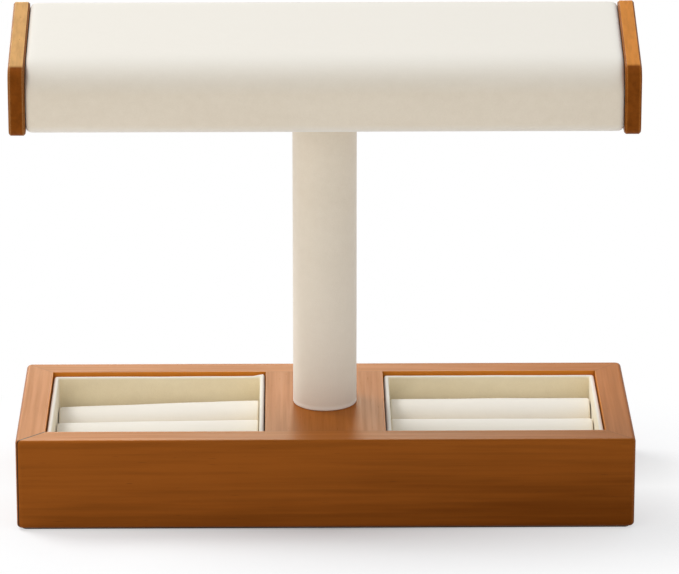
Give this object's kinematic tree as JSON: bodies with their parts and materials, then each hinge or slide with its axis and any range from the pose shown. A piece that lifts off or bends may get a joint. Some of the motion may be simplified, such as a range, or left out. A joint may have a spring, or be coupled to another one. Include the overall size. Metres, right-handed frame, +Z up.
{
  "type": "watch stand",
  "caption": "Watch and bracelet stand: a padded wedge bar with wooden end caps on a covered post, over a mitred wooden base with lift-out lined trays of ring rolls.",
  "frame": {"origin": "on the table, at the middle of the underside, below the post's axis", "axes": "+X along the bar to the viewer's right, +Y to the back, +Z up"},
  "size_m": [0.2524, 0.096, 0.2019],
  "materials": {
    "wood": "satin lacquer, fine grain",
    "inner_wood": "bare",
    "microfibre": "short nap",
    "foam": "open foam",
    "board": "matte",
    "felt": "felt",
    "steel": "zinc plated",
    "brass": "turned"
  },
  "bodies": {
    "base": {"front_rail": "wood", "back_rail": "wood", "left_rail": "wood", "right_rail": "wood", "post_block": "wood", "bottom_board": "inner_wood", "base_felt": "felt", "post_core": "inner_wood", "post_cover": "microfibre", "tie_bolt": "steel", "tie_washer": "steel"},
    "bar": {"bar_core": "inner_wood", "bar_padding": "foam", "bar_cover": "microfibre", "left_end_cap": "wood", "right_end_cap": "wood", "cap_dowels": "inner_wood", "bar_insert": "brass"},
    "left_tray": {"left_tray_shell": "board", "left_tray_lining": "microfibre"},
    "left_ring_pad": {"left_ring_card": "board", "left_ring_foam": "foam", "left_ring_sleeve_back": "microfibre", "left_ring_sleeve_middle": "microfibre", "left_ring_sleeve_front": "microfibre"},
    "right_tray": {"right_tray_shell": "board", "right_tray_lining": "microfibre"},
    "right_ring_pad": {"right_ring_card": "board", "right_ring_foam": "foam", "right_ring_sleeve_back": "microfibre", "right_ring_sleeve_middle": "microfibre", "right_ring_sleeve_front": "microfibre"}
  },
  "joints": [
    {"name": "bar_turn", "type": "hinge", "parent": "base", "child": "bar", "pos_m": [0, 0, 0.161], "axis": [0, 0, 1], "continuous": true},
    {"name": "left_tray_lift", "type": "slide", "parent": "base", "child": "left_tray", "axis": [0, 0, 1], "range_m": [0, 0.045]},
    {"name": "left_pad_lift", "type": "slide", "parent": "left_tray", "child": "left_ring_pad", "axis": [0, 0, 1], "range_m": [0, 0.04]},
    {"name": "right_tray_lift", "type": "slide", "parent": "base", "child": "right_tray", "axis": [0, 0, 1], "range_m": [0, 0.045]},
    {"name": "right_pad_lift", "type": "slide", "parent": "right_tray", "child": "right_ring_pad", "axis": [0, 0, 1], "range_m": [0, 0.04]}
  ]
}
